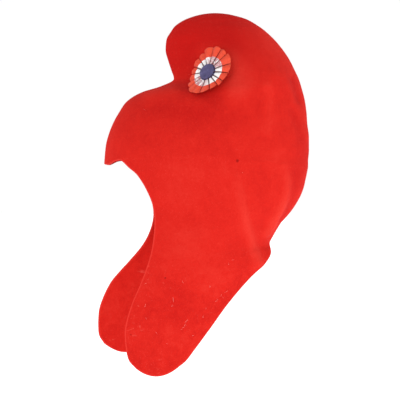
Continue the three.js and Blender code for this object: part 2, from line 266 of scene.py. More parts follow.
# noise in waves to the metre, for the fibres along them and across
feltGrain = {"clouds": 16, "mottle": 95, "curd": 420, "fibres": (350, 2600, 2600)}
# where the felt's looks change, each over a stretch in millimetres; the bulb's two stretches place
# its painted shade, which is left off near the cockade
feltPlaces = {
    "flap": (-170, -260),   # down to the rubbed part of the flap
    "bulb": (0, 25),        # up to the darker bulb, and from the nape side of it forward
    "bulbDepth": (75, 15),
    "clearOfShadeNearCockade": (30, 50),      # away from the cockade
    "cutEdge": (2.2, 0.6),  # in from a cut edge, and in to the seam's allowance
    "seam": (2.2, -0.4),
}
# spots on the left side: y, z, radius of the dark and of its rim in millimetres, how dark
feltSpots = [
    (30, -93, 1.18, 3.1, 0.75),
    (-51, -225, 0.76, 2.05, 0.8),
    (-90, -290, 0.7, 1.9, 0.6),
]


def feltMaterial():
    s = Shader("red_felt_cloth")
    place = s.node("ShaderNodeTexCoord", output="Object")
    edge = s.node("ShaderNodeAttribute", {"attribute_name": "edgeDistance"}, output="Fac")
    seam = s.node("ShaderNodeAttribute", {"attribute_name": "seamDistance"}, output="Fac")
    wear = s.node("ShaderNodeAttribute", {"attribute_name": "wear"}, output="Fac")
    aside, depth, height = s.parts(place)

    def over(value, stretch):
        return s.between(value, *[end * mm for end in feltPlaces[stretch]])

    low = over(height, "flap")
    clouds = s.noise(place, feltGrain["clouds"], 4, 0.55)
    mottle = s.noise(place, feltGrain["mottle"], 5, 0.6, 0.5)
    curd = s.noise(place, feltGrain["curd"], 4, 0.6, 0.8)
    # short fibres lying three ways
    laid = [s.noise(s.turned(place, angles, feltGrain["fibres"]), 1, 3, 0.65, 1.2)
            for angles in ((0.3, 0.5, 0.2), (1.4, 0.2, 1.1), (0.7, 1.3, 2.2))]
    fibres = (laid[0] + laid[1] + laid[2]) * (1 / 3)

    blotch = (mottle - 0.5) * (low * 0.2 + 0.2)
    # the folds' rises painted paler and their grooves darker, partly rubbing and partly painted
    # light and shade
    shade = clouds * 0.28 + 0.06 + blotch + curd * 0.25 + wear * 0.35 + 0.17
    colour = s.ramp(shade, [(0.30, feltColours["deep"]), (0.52, feltColours["body"]),
                            (0.82, feltColours["pale"])])
    colour = s.mix(s.between(fibres, 0.54, 0.68) * 0.4, colour, feltColours["fibre"])
    colour = s.mix(s.between(fibres, 0.46, 0.36) * 0.3, colour, feltColours["deep"])
    # painted shade on the bulb, which tilts up away from the light, left off around the cockade as
    # painted light against the cockade's shadow
    fromCockade = s.distance(place, Vector(cockade["centre"]) * mm)
    paintedBulbShade = over(height, "bulb") * over(depth, "bulbDepth") * over(fromCockade, "clearOfShadeNearCockade")
    colour = s.mix(paintedBulbShade * 0.9, colour, feltColours["deep"])
    # the fuzz rubbed up on the flap; the paler cut edge, partly the felt's own raw edge and partly a
    # painted highlight along it; and painted shade along the sunken seam
    rubbed = s.noise(s.turned(place, (0.2, 0.4, 0.9), (260, 90, 140)), 1, 3, 0.6, 1.5)
    gathered = s.between(s.noise(place, 22, 2), 0.48, 0.62)
    colour = s.mix(s.between(rubbed, 0.62, 0.73) * low * gathered * 0.5, colour,
                   feltColours["fibre"])
    # paler towards a cut edge: partly raw felt, partly a painted highlight
    colour = s.mix(over(edge, "cutEdge") * 0.5, colour, feltColours["cutEdge"])
    # painted shade in the crest seam's groove
    colour = s.mix(over(seam, "seam") * 0.55, colour, feltColours["deep"])
    onLeft = aside.apply("GREATER_THAN")
    sidePlace = s.node("ShaderNodeVectorMath", {"operation": "MULTIPLY"}, {0: place, 1: (0, 1, 1)})
    for y, z, core, rim, dark in feltSpots:
        away = s.distance(sidePlace, (0, y * mm, z * mm)) + curd * 0.0012
        spot = s.between(away, rim * mm, core * mm)
        colour = s.mix(spot * onLeft * dark, colour, feltColours["dark"])

    coarse = s.bump(curd * 0.6 + mottle * 0.4, 0.5, 0.0012)
    normal = s.bump(fibres, 0.6, 0.0006, coarse)
    return s.finish({
        "Base Color": colour,
        "Roughness": mottle * 0.12 + 0.88,
        "Normal": normal,
        "Specular IOR Level": 0.04,
        "Sheen Weight": 0.03,
        "Sheen Roughness": 0.5,
        "Sheen Tint": (1, 0.55, 0.5, 1),
    })


def asRecords(columns, rows):
    return [dict(zip(columns, row)) for row in rows]


def smoothShare(value, low, high):
    share = min(max((value - low) / (high - low), 0), 1)
    return share * share * (3 - 2 * share)


# The slope at a row between two others, so that no edge swings past its rows' values.
def slopeBetween(before, after):
    if before * after <= 0:
        return 0
    most = 2 * min(abs(before), abs(after))
    return math.copysign(min(abs(before + after) / 2, most), before)


def profile(share, widest, ridge):
    side = 1 - share / widest if share < widest else (share - widest) / (1 - widest)
    return max(1 - side * side, 0) ** ridge


# how far along the profile its height reaches a share of the widest
def trimOf(share, length, ridge):
    height = min(max(share, 0), 1)
    return length * (1 - math.sqrt(1 - height ** (1 / ridge)))


# A section with the places where its felt would meet the middle plane if it went on past the
# free edges.
def wholeSection(section):
    width, widest, ridge = section["width"], section["widest"], section["ridge"]
    cutAtFace, cutAtNape = (
        trimOf(section[name] / width, length, ridge) if width > 0 else 0
        for name, length in (("faceX", widest), ("napeX", 1 - widest)))
    whole = (section["napeY"] - section["faceY"]) / (1 - cutAtFace - cutAtNape)
    foreY = section["faceY"] - cutAtFace * whole
    return {**section, "foreY": foreY, "backY": foreY + whole}


sections = [wholeSection(section) for section in asRecords(sectionColumns, sectionRows)]
browSeamEnd = [section for section in sections if section["faceX"] == 0][-1]


# Every column at a place counted in sections from the crest. The edges pass through their
# points, and the cross-section's own values are smoothed between them.
def sectionAt(place):
    last = len(sections) - 1
    start = min(int(place), last - 1)
    t = place - start
    found = {}
    for name in sections[0]:
        here, ahead = sections[start][name], sections[start + 1][name]
        before = sections[start - 1][name] if start > 0 else 2 * here - ahead
        after = sections[start + 2][name] if start + 2 <= last else 2 * ahead - here
        if name in ("width", "widest", "ridge"):
            found[name] = (before * (1 - t) ** 3 + here * (3 * t ** 3 - 6 * t * t + 4)
                           + ahead * (3 * t * (1 + t - t * t) + 1) + after * t ** 3) / 6
        else:
            leaving = slopeBetween(here - before, ahead - here)
            arriving = slopeBetween(ahead - here, after - ahead)
            found[name] = (here * (1 + 2 * t) * (1 - t) ** 2 + ahead * t * t * (3 - 2 * t)
                           + leaving * t * (1 - t) ** 2 - arriving * t * t * (1 - t))
    return found


def tabDropAt(x, y, z):
    near = smoothShare(-z, -felt["tabTop"], -browSeamEnd["faceZ"]) if y < 0 else 0
    return felt["tabDrop"] * near * (1 - smoothShare(x, *felt["tabSides"]))


# A point of the felt's outer face on the left half, in millimetres. Across runs from the
# face edge to the nape edge.
def feltPoint(section, across):
    foreY = section["foreY"] if section["faceX"] > 0 else section["faceY"]
    backY = section["backY"] if section["napeX"] > 0 else section["napeY"]
    faceSlope = felt["freeSpacing"] * smoothShare(section["faceX"], 0, felt["freeFrom"])
    napeSlope = felt["freeSpacing"] * smoothShare(section["napeX"], 0, felt["freeFrom"])
    t = across
    eased = t * (1 - t) ** 2 * faceSlope + t * t * (3 - 2 * t) - t * t * (1 - t) * napeSlope
    y = section["faceY"] + (section["napeY"] - section["faceY"]) * eased
    z = section["faceZ"] + (section["napeZ"] - section["faceZ"]) * eased
    z += section["arch"] * (1 - (1 - 2 * eased) ** 2)
    place = min(max((y - foreY) / (backY - foreY), 0), 1)
    x = max(section["width"] * profile(place, section["widest"], section["ridge"]), 0)
    return Vector((x + felt["seamGap"] / 2, y, z - tabDropAt(x, y, z)))


# Turns each fold into a short chain of points and its reach.
def foldChains():
    chains = []
    for fold in asRecords(foldColumns, foldRows):
        points = []
        for step in range(foldSteps + 1):
            t = step / foldSteps
            points.append(tuple(
                fold["from" + axis] * (1 - t) ** 2 + fold["to" + axis] * t * t
                + (4 * fold["over" + axis] - fold["from" + axis] - fold["to" + axis]) * t * (1 - t)
                for axis in "YZ"))
        reach = foldReach * fold["halfWidth"]
        chains.append({
            "points": points,
            "box": (min(p[0] for p in points) - reach, max(p[0] for p in points) + reach,
                    min(p[1] for p in points) - reach, max(p[1] for p in points) + reach),
            "fold": fold,
        })
    return chains


def foldRise(chains, side, y, z):
    rise = 0
    for chain in chains:
        lowY, highY, lowZ, highZ = chain["box"]
        if not (lowY < y < highY and lowZ < z < highZ):
            continue
        best = None
        points = chain["points"]
        for index in range(len(points) - 1):
            (y0, z0), (y1, z1) = points[index], points[index + 1]
            alongY, alongZ = y1 - y0, z1 - z0
            t = ((y - y0) * alongY + (z - z0) * alongZ) / (alongY ** 2 + alongZ ** 2)
            t = min(max(t, 0), 1)
            away = math.hypot(y - y0 - t * alongY, z - z0 - t * alongZ)
            if best is None or away < best[0]:
                best = (away, (index + t) / (len(points) - 1))
        fold = chain["fold"]
        height = fold["rise"] + (fold["lastRise"] - fold["rise"]) * best[1]
        share = 1 if side > 0 else fold["mirrored"]
        rise += share * height * math.exp(-(best[0] / fold["halfWidth"]) ** 2)
    return rise


# Swings the lower part of the right half forward about the cheek.
def swingForward(point):
    share = smoothShare(-point.z, -swing["top"], -swing["bottom"])
    angle = -math.radians(swing["degrees"]) * share
    y = point.y - swing["pivotY"]
    z = point.z - swing["pivotZ"]
    return Vector((
        point.x,
        swing["pivotY"] + y * math.cos(angle) - z * math.sin(angle) - swing["forward"] * share,
        swing["pivotZ"] + y * math.sin(angle) + z * math.cos(angle),
    ))


def treeOf(points):
    tree = KDTree(len(points))
    for index, point in enumerate(points):
        tree.insert(point, index)
    tree.balance()
    return tree


def newObject(name, bm, material, smooth=True):
    mesh = bpy.data.meshes.new(name)
    bm.to_mesh(mesh)
    bm.free()
    piece = bpy.data.objects.new(name, mesh)
    bpy.context.collection.objects.link(piece)
    mesh.materials.append(material)
    if smooth:
        mesh.shade_smooth()
    return piece


# Gives a sheet its thickness, inside its face at an offset of -1 and outside it at 1.
def addWall(piece, thickness, offset):
    wall = piece.modifiers.new("wall", "SOLIDIFY")
    wall.thickness = thickness * mm
    wall.offset = offset


# The vertices of a run of edges, from its end nearest the face.
def inOrder(edges):
    counts = {}
    for edge in edges:
        for vert in edge.verts:
            counts.setdefault(vert, []).append(edge)
    line = [min((vert for vert in counts if len(counts[vert]) == 1), key=lambda vert: vert.co.y)]
    edge = counts[line[0]][0]
    while edge:
        line.append(edge.other_vert(line[-1]))
        edge = next((other for other in counts[line[-1]] if other != edge), None)
    return line


# The vertices of some edges, each once.
def vertsOf(edges):
    return list(dict.fromkeys(vert for edge in edges for vert in edge.verts))


# A grid laid over the left half's sections, its rows from the crest down.
def feltSurface():
    bm = bmesh.new()
    bmesh.ops.create_grid(bm, x_segments=felt["columns"], y_segments=felt["rows"], size=0.5)
    for name in ("edgeDistance", "seamDistance", "wear"):
        bm.verts.layers.float.new(name)
    rowsSeen = {}
    for vert in bm.verts:
        key = round(0.5 - vert.co.y, 6)
        if key not in rowsSeen:
            rowsSeen[key] = sectionAt(key * (len(sections) - 1))
        vert.co = feltPoint(rowsSeen[key], min(max(vert.co.x + 0.5, 0), 1))
    return bm


# The way in from each vertex of the crest, in the plane of the seam.
def waysIn(crest):
    line = inOrder(crest)
    ways = {}
    for index, vert in enumerate(line):
        along = line[min(index + 2, len(line) - 1)].co - line[max(index - 2, 0)].co
        ways[vert] = Vector((0, along.z, -along.y)).normalized()
    return ways


# Raises the folds and waves, and notes what the felt's material reads at each vertex.
def layFolds(bm, side, crest, cutEdges):
    edgeLayer = bm.verts.layers.float["edgeDistance"]
    seamLayer = bm.verts.layers.float["seamDistance"]
    foldRubAndShadeLayer = bm.verts.layers.float["wear"]
    crestTree = treeOf([vert.co for vert in vertsOf(crest)])
    cutTree = treeOf([vert.co for vert in vertsOf(cutEdges)])
    bm.normal_update()
    chains = foldChains()
    middleY, middleZ = cockade["centre"][1:]
    seed = Vector(felt["waveSeeds"][side])
    moved = {}
    for vert in bm.verts:
        x, y, z = vert.co
        fromSeam = crestTree.find(vert.co)[2]
        fromCockade = math.hypot(y - middleY, z - middleZ)
        rise = foldRise(chains, side, y, z) * min(x / felt["foldFade"], 1)
        calm = smoothShare(fromSeam, 0, felt["calmSeam"]) * (
            felt["calmest"] + (1 - felt["calmest"]) * smoothShare(fromCockade, *felt["calmCockade"]))
        for size, height in felt["waves"]:
            rise += height * calm * noise.noise((vert.co + seed * size) / size)
        moved[vert] = vert.co + vert.normal * rise
        vert[edgeLayer] = cutTree.find(vert.co)[2] * mm
        vert[seamLayer] = fromSeam * mm
        # how far it rises, which the felt paints as rubbing and as painted light and shade
        vert[foldRubAndShadeLayer] = min(max(rise / felt["foldRubAndShadeHeight"], -felt["mostFoldRubAndShade"]), felt["mostFoldRubAndShade"])
    for vert, place in moved.items():
        vert.co = place


# Rounds the felt in towards the crest.
def roundCrest(bm, ways):
    radius = felt["seamRound"]
    crestVerts = list(ways)
    nearest = treeOf([vert.co for vert in crestVerts])
    moved = {}
    for vert in bm.verts:
        index, away = nearest.find(vert.co)[1:]
        if away < radius:
            depth = radius - math.sqrt(radius ** 2 - (radius - away) ** 2)
            moved[vert] = vert.co + ways[crestVerts[index]] * depth
    for vert, place in moved.items():
        vert.co = place


# Grows the seam's allowance inwards from the crest, strip by strip.
def growAllowance(bm, ring, ways):
    seamLayer = bm.verts.layers.float["seamDistance"]
    strip = felt["allowance"] / felt["allowanceSteps"]
    for step in range(felt["allowanceSteps"]):
        grown = bmesh.ops.extrude_edge_only(bm, edges=ring)["geom"]
        ring = [item for item in grown if isinstance(item, bmesh.types.BMEdge)]
        ahead = {}
        for vert in (item for item in grown if isinstance(item, bmesh.types.BMVert)):
            root = next(edge.other_vert(vert) for edge in vert.link_edges
                        if edge.other_vert(vert) in ways)
            vert.co += ways[root] * strip
            vert[seamLayer] = -(step + 1) * strip * mm
            ahead[vert] = ways[root]
        ways = ahead


def feltHalf(name, side, material):
    bm = feltSurface()
    rim = [edge for edge in bm.edges if edge.is_boundary]
    crest = [edge for edge in rim if all(vert.co.x < felt["seamGap"] for vert in edge.verts)]
    cutEdges = [edge for edge in rim if edge not in crest]
    for edge in cutEdges:
        edge.smooth = False
    ways = waysIn(crest)
    layFolds(bm, side, crest, cutEdges)
    roundCrest(bm, ways)
    growAllowance(bm, crest, ways)
    if side < 0:
        for vert in bm.verts:
            vert.co = swingForward(vert.co)
            vert.co.x *= -1
        bmesh.ops.reverse_faces(bm, faces=bm.faces)
    bmesh.ops.scale(bm, vec=(mm, mm, mm), verts=bm.verts)
    half = newObject(name, bm, material)
    addWall(half, felt["thickness"], -1)
    return half


feltSkin = feltMaterial()
leftFelt = feltHalf("felt_left", 1, feltSkin)
rightFelt = feltHalf("felt_right", -1, feltSkin)
for piece, node in ((leftFelt, "left_half"), (rightFelt, "right_half")):
    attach(piece, "root")
    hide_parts(node)
print("felt halves made")


# loose wool standing on the felt, and threads caught on the left flap
fuzz = {
    "count": 9000,
    "shortest": 0.8,
    "longest": 2.8,
    "width": 0.045,
    "lean": 0.5,            # how far up from the felt they stand
}
caught = {
    "width": 0.11,
    "pieces": 4,            # of each thread
    "overlap": 1.4,         # each piece's length, in its share of the thread
    "bend": 28,             # most degrees from one piece to the next
    # y, z, length in millimetres, direction in degrees
    "threads": [
        (-33, -284, 8, 52), (-28, -276, 4, 70), (-6, -261, 2, 20), (-8, -271, 2.6, 100),
        (6, -253, 3, 40), (9, -251, 2.2, 150), (12, -247, 3, 65), (17, -243, 3.4, 30),
        (15, -249, 2, 110), (21, -211, 2.4, 80), (25, -206, 2, 20), (-74, -258, 3.6, 75),
        (-72, -272, 2.2, 130), (-42, -252, 5, 82), (-44, -258, 2.6, 60), (-31, -231, 3, 100),
        (-74, -232, 2, 30), (-74, -34, 3.6, 150), (35, -107, 2.2, 60), (-50, -300, 2, 10),
        (-60, -288, 2, 140), (-20, -292, 2, 50), (0, -236, 2, 120),
    ],
}


def fibreMaterial(name, colour, tint):
    s = Shader(name)
    place = s.node("ShaderNodeTexCoord", output="Object")
    return s.finish({
        "Base Color": s.mix(s.noise(place, 400, 1), colour, tint),
        "Roughness": 0.9,
        "Specular IOR Level": 0.15,
    })


# One straight piece of a fibre, thinning to a point.
def strand(bm, start, way, length, width):
    side = way.orthogonal().normalized() * width
    ring = [bm.verts.new(start + Matrix.Rotation(math.radians(turn), 3, way) @ side)
            for turn in (0, 120, 240)]
    tip = bm.verts.new(start + way * length)
    bm.faces.new(ring[::-1])
    for index in range(3):
        bm.faces.new((ring[index], ring[(index + 1) % 3], tip))


# A half's faces in the same order every time: as laid, then the allowance, which the
# extrusion leaves in any order.
def facesInOrder(half):
    laid = felt["columns"] * felt["rows"]
    polygons = list(half.data.polygons)
    return polygons[:laid] + sorted(polygons[laid:], key=lambda polygon: tuple(polygon.center))


def fuzzOver(halves, material):
    dice = random.Random(5)
    bm = bmesh.new()
    for half in halves:
        polygons = facesInOrder(half)
        for _ in range(fuzz["count"] // len(halves)):
            root = polygons[dice.randrange(len(polygons))]
            aside = Vector([dice.gauss(0, 1) for _ in range(3)]).cross(root.normal).normalized()
            way = (aside + root.normal * fuzz["lean"] * dice.random()).normalized()
            length = dice.uniform(fuzz["shortest"], fuzz["longest"]) * mm
            strand(bm, root.center, way, length, fuzz["width"] * mm)
    return newObject("felt_fuzz", bm, material, smooth=False)


def caughtThreads(half, material):
    dice = random.Random(8)
    bm = bmesh.new()
    faces = [(polygon.center.copy(), polygon.normal.copy()) for polygon in half.data.polygons]
    across = treeOf([Vector((0, centre.y, centre.z)) for centre, normal in faces])
    for y, z, length, degrees in caught["threads"]:
        part = length / caught["pieces"] * mm
        angle = math.radians(degrees)
        place = Vector((0, y, z)) * mm
        for _ in range(caught["pieces"]):
            centre, normal = faces[across.find(place)[1]]
            step = Vector((0, math.cos(angle), math.sin(angle)))
            way = (step - normal * step.dot(normal)).normalized()
            lifted = Vector((centre.x, place.y, place.z)) + normal * caught["width"] * mm
            strand(bm, lifted, way, part * caught["overlap"], caught["width"] * mm)
            place += step * part
            angle += math.radians(dice.uniform(-1, 1) * caught["bend"])
    return newObject("caught_threads", bm, material, smooth=False)


woolFuzz = fuzzOver((leftFelt, rightFelt),
                    fibreMaterial("red_wool_fibre", (0.72, 0.03, 0.022), (0.86, 0.14, 0.11)))
pocketLint = caughtThreads(leftFelt,
                           fibreMaterial("pale_lint", (0.9, 0.34, 0.30), (0.94, 0.62, 0.56)))
for piece in (woolFuzz, pocketLint):
    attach(piece, "root")
print("fibres laid")


# The cockade's pieces are made lying flat, facing up with the nape along x, then placed.
facing = Vector(cockade["facing"]).normalized()
toNape = Vector((0, 0, 1)).cross(facing).normalized()
axes = Matrix((toNape, facing.cross(toNape), facing)).transposed()
rosettePlace = Matrix.Translation(Vector(cockade["centre"]) * mm) @ axes.to_4x4()


def placedPiece(name, bm, material):
    bmesh.ops.scale(bm, vec=(mm, mm, mm), verts=bm.verts)
    bmesh.ops.transform(bm, matrix=rosettePlace, verts=bm.verts)
    return newObject(name, bm, material)


ribbon = {
    "lean": 70,             # the ruffle is longest at this angle from its nape side
    "stretch": 1.5,
    "narrowing": 6,
    "innerRadius": 7,
    "backRadius": 13,       # the round of stiff cloth behind the pleats
    "backLift": 0.3,
    "backSegments": 48,
    "blueEnd": (0.150, 0.158),      # shares across the ribbon over which one stripe
    "redStart": (0.520, 0.530),     # gives way to the next
    "pleats": 16,
    "stepsPerPleat": 30,
    "stepsAcross": 24,
    "pleatHeight": 2.2,
    "innerHeight": 0.4,     # the share of it at the middle of the rosette
    "thickness": 0.28,
    "lift": 0.6,            # the ribbon's underside above the rosette's base
    "droop": {"nape": 6, "above": -1, "face": 4, "below": -4},
    # one box pleat: share of its ribbon, angle in pleats, height
    "pleatPath": [
        (0.00, 0.000, 0.00),
        (0.14, 0.045, 0.72),
        (0.20, 0.085, 0.98),
        (0.50, 0.500, 1.36),
        (0.80, 0.915, 0.98),
        (0.86, 0.955, 0.72),
        (1.00, 1.000, 0.00),
    ],
    "softness": 0.35,       # how far the turns between those points are rounded
    "tilt": 1.5,            # how far one side of a pleat may lie above the other
    "scallop": 1.6,         # how far its end is rounded
    "restlessness": 0.2,    # how far the pleats differ in width and height
    "longest": 2.2,         # and in length
}

ribbonColours = {
    "white": (0.97, 0.96, 0.95),
    "pinkStainedShadedWhite": (0.58, 0.23, 0.25),
    "red": (0.86, 0.070, 0.024),
    # deep red, for blotches and for the painted shade on one side of each pleat
    "redDeep": (0.56, 0.032, 0.013),
    "blue": (0.06, 0.06, 0.18),
    # painted shade in the folds, on the white and on the red
    "fold": (0.13, 0.04, 0.035),
    "redFoldShade": (0.26, 0.014, 0.009),
}


def ribbonMaterial():
    s = Shader("tricolour_ribbon_cloth")
    uv = s.node("ShaderNodeUVMap", {"uv_map": "ribbon"})
    along, across = s.parts(uv)[:2]
    place = s.node("ShaderNodeTexCoord", output="Object")
    drift = s.noise(place, 90, 2, 0.5) * 0.016 - 0.008
    pastBlue = s.between(across + drift, *ribbon["blueEnd"])
    pastWhite = s.between(across + drift, *ribbon["redStart"])
    blotch = s.noise(place, 330, 4, 0.65, 0.8)
    # pink stains on the white, laid on two opposite sides of the ring where the pleats turn from the
    # light, partly stain and partly painted shade
    turn = (along * (4 * math.pi) - 2.1).apply("COSINE")
    stainAndTurnShade = s.between(turn, -0.45, 0.7) * s.between(blotch, 0.40, 0.53)
    white = s.mix(stainAndTurnShade * 0.92 + 0.04, ribbonColours["white"], ribbonColours["pinkStainedShadedWhite"])
    red = s.mix(s.between(blotch, 0.4, 0.7) * 0.5, ribbonColours["red"], ribbonColours["redDeep"])
    pleat = (along * ribbon["pleats"]).apply("FRACT")
    # painted shade on one side of every red pleat
    red = s.mix(s.between(pleat, 0.5, 0.85) * 0.55, red, ribbonColours["redDeep"])
    colour = s.mix(pastBlue, ribbonColours["blue"], white)
    colour = s.mix(pastWhite, colour, red)
    # painted shade inside each fold, which closes towards the rim
    slot = s.between(across, 0.75, 0.15) * 0.12 + 0.13
    paintedFoldShade = s.between(pleat, slot + 0.07, slot) + s.between(1 - pleat, slot + 0.07, slot)
    colour = s.mix(paintedFoldShade * (s.between(across, 1.05, 0.6) * 0.45 + 0.42), colour,
                   s.mix(pastWhite, ribbonColours["fold"], ribbonColours["redFoldShade"]))
    # fine cross ribs and the threads along the ribbon
    ribs = s.node("ShaderNodeTexWave", {"bands_direction": "X"},
                  {"Vector": uv, "Scale": 90, "Distortion": 0.5})
    threads = s.node("ShaderNodeTexWave", {"bands_direction": "Y"},
                     {"Vector": uv, "Scale": 34, "Distortion": 0.3})
    normal = s.bump(ribs * 0.6 + threads * 0.4, 0.3, 0.00012)
    return s.finish({
        "Base Color": colour,
        "Roughness": blotch * 0.15 + 0.42,
        "Normal": normal,
        "Specular IOR Level": 0.35,
        "Sheen Weight": 0.1,
        "Sheen Roughness": 0.4,
    })


# The angle and the height of a pleat at a share of its ribbon.
def pleatAt(share):
    path = ribbon["pleatPath"]
    for before, after in zip(path, path[1:]):
        if share <= after[0]:
            t = (share - before[0]) / (after[0] - before[0])
            t += (t * t * (3 - 2 * t) - t) * ribbon["softness"]
            return [start + (finish - start) * t
                    for start, finish in zip(before[1:], after[1:])]
    return path[-1][1:]


# how far the rim bends back towards the crown
def edgeDroop(angle):
    bend = ribbon["droop"]
    across, up = math.cos(angle), math.sin(angle)
    return (across ** 2 * (bend["nape"] if across > 0 else bend["face"])
            + up ** 2 * (bend["above"] if up > 0 else bend["below"]))


def cockadeRibbon(material):
    dice = random.Random(11)
    pleats = ribbon["pleats"]
    loose = [dice.uniform(-1, 1) * ribbon["restlessness"] for _ in range(pleats)]
    tall = [1 + dice.uniform(-1, 1) * ribbon["restlessness"] for _ in range(pleats)]
    tilt = [dice.uniform(-1, 1) * ribbon["tilt"] for _ in range(pleats)]
    longer = [dice.uniform(0, ribbon["longest"]) for _ in range(pleats)]
    bm = bmesh.new()
    bmesh.ops.create_grid(bm, x_segments=pleats * ribbon["stepsPerPleat"],
                          y_segments=ribbon["stepsAcross"], size=0.5)
    uvLayer = bm.loops.layers.uv.new("ribbon")
    for face in bm.faces:
        for loop in face.loops:
            loop[uvLayer].uv = (loop.vert.co.x + 0.5, loop.vert.co.y + 0.5)
    inner, outer = ribbon["innerRadius"], cockade["radius"]
    lean = math.radians(ribbon["lean"])
    for vert in bm.verts:
        along = min(max(vert.co.x + 0.5, 0), 1) * pleats
        across = min(max(vert.co.y + 0.5, 0), 1)
        pleat = min(int(along), pleats - 1)
        turn, height = pleatAt(along - pleat)
        start = pleat + loose[pleat]
        finish = pleat + 1 + loose[(pleat + 1) % pleats]
        angle = 2 * math.pi / pleats * (start + (finish - start) * turn)
        span = inner + (outer - inner) * across
        edge = (ribbon["stretch"] * math.cos(angle - lean)
                - ribbon["narrowing"] * math.sin(angle - lean) ** 2
                + longer[pleat] - ribbon["scallop"] * (2 * turn - 1) ** 2)
        radius = span + edge * (span / outer) ** 4
        reach = radius / outer
        swell = ribbon["innerHeight"] + (1 - ribbon["innerHeight"]) * reach
        rise = height * ribbon["pleatHeight"] * tall[pleat] * swell
        rise += tilt[pleat] * (2 * turn - 1) * min(height, 1) * reach
        vert.co = (radius * math.cos(angle), radius * math.sin(angle),
                   rise + ribbon["lift"] - edgeDroop(angle) * reach * reach)
    bmesh.ops.remove_doubles(bm, verts=bm.verts, dist=0.001)
    # the round of stiff cloth that the pleats are sewn to
    back = bmesh.ops.create_circle(
        bm, cap_ends=True, segments=ribbon["backSegments"], radius=ribbon["backRadius"],
        matrix=Matrix.Translation((0, 0, ribbon["backLift"])))["verts"]
    for vert in back:
        angle = math.atan2(vert.co.y, vert.co.x)
        vert.co.z -= edgeDroop(angle) * (ribbon["backRadius"] / outer) ** 2
    rosette = placedPiece("tricolour_rosette", bm, material)
    addWall(rosette, ribbon["thickness"], 1)
    return rosette


ribbonPiece = cockadeRibbon(ribbonMaterial())
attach(ribbonPiece, "root")
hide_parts("cockade_ribbon")


buttonColours = {
    "deep": (0.045, 0.038, 0.11),
    "body": (0.075, 0.062, 0.17),
    "pale": (0.12, 0.105, 0.25),
}
button = {
    "radius": 9.3,
    "edge": 0.6,            # the height of its upright edge, and of the dome above that
    "crown": 1.0,
    "crownSteps": 9,
    "lift": 3.6,            # its edge above the rosette's base
    "skirt": 2.0,           # the cloth gathered under it, down onto the pleats
    # that cloth from the middle out, in radii and skirts
    "skirtPath": [(0, -1), (0.82, -1), (0.93, -0.6), (0.985, 0)],
    "puckers": 22,
    "puckerFrom": 0.72,     # they start here, in radii
    "puckerIn": 0.012,
    "puckerUp": 0.12,
    "unevenness": 0.2,      # height and size of the waves in its cover
    "unevenSize": 5,
    "segments": 132,
}


def buttonMaterial():
    s = Shader("blue_cloth_cover")
    place = s.node("ShaderNodeTexCoord", output="Object")
    cloud = s.noise(place, 170, 4, 0.6)
    colour = s.ramp(cloud, [(0.3, buttonColours["deep"]), (0.55, buttonColours["body"]),
                            (0.75, buttonColours["pale"])])
    weave = s.noise(s.turned(place, (0.3, 0.2, 0.6), (2600, 900, 2600)), 1, 2, 0.5)
    normal = s.bump(weave, 0.4, 0.0002)
    return s.finish({
        "Base Color": colour,
        "Roughness": weave * 0.2 + 0.5,
        "Normal": normal,
        "Specular IOR Level": 0.4,
        "Sheen Weight": 0.3,
        "Sheen Roughness": 0.4,
    })


# The skirt and the dome are spun, then gathered into puckers round the edge.
def cockadeButton(material):
    bm = bmesh.new()
    radius, edge, crown = button["radius"], button["edge"], button["crown"]
    outline = [(radius * out, button["skirt"] * up) for out, up in button["skirtPath"]]
    for step in range(button["crownSteps"]):
        angle = math.pi / 2 * step / button["crownSteps"]
        outline.append((radius * math.cos(angle), edge + crown * math.sin(angle)))
    outline.append((0, edge + crown))
    verts = [bm.verts.new((x, 0, z)) for x, z in outline]
    edges = [bm.edges.new(pair) for pair in zip(verts, verts[1:])]
    bmesh.ops.spin(bm, geom=verts + edges, cent=(0, 0, 0), axis=(0, 0, 1),
                   angle=2 * math.pi, steps=button["segments"], use_merge=True)
    bmesh.ops.remove_doubles(bm, verts=bm.verts, dist=0.001)
    for vert in bm.verts:
        away = math.hypot(vert.co.x, vert.co.y) / radius
        angle = math.atan2(vert.co.y, vert.co.x)
        gather = (smoothShare(away, button["puckerFrom"], 1)
                  * math.sin(button["puckers"] * angle + 2 * math.sin(3 * angle)))
        vert.co.x *= 1 + button["puckerIn"] * gather
        vert.co.y *= 1 + button["puckerIn"] * gather
        vert.co.z += (button["puckerUp"] * gather + button["lift"]
                      + button["unevenness"] * noise.noise(vert.co / button["unevenSize"]))
    bmesh.ops.recalc_face_normals(bm, faces=bm.faces)
    return placedPiece("blue_button", bm, material)


buttonPiece = cockadeButton(buttonMaterial())
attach(buttonPiece, "root")
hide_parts("cockade_button")


post = {
    "radius": 5,
    "segments": 48,
    "rings": 8,
    "behind": 0.1,          # its top behind the rosette's base
    "sunk": 0.4,            # how far its foot presses into the crown
    "waist": 0.12,          # how far its thread draws it in, as a share
}


def postMaterial():
    s = Shader("rolled_red_felt")
    place = s.node("ShaderNodeTexCoord", output="Object")
    curd = s.noise(place, feltGrain["curd"], 4, 0.6, 0.8)
    fibres = s.noise(s.turned(place, (0.4, 0.9, 0.3), feltGrain["fibres"]), 1, 3, 0.65, 1.2)
    colour = s.mix(curd, feltColours["deep"], feltColours["body"])
    return s.finish({
        "Base Color": s.mix(s.between(fibres, 0.54, 0.68) * 0.4, colour, feltColours["fibre"]),
        "Roughness": curd * 0.12 + 0.88,
        "Normal": s.bump(fibres, 0.5, 0.0006, s.bump(curd, 0.5, 0.0012)),
        "Specular IOR Level": 0.1,
    })


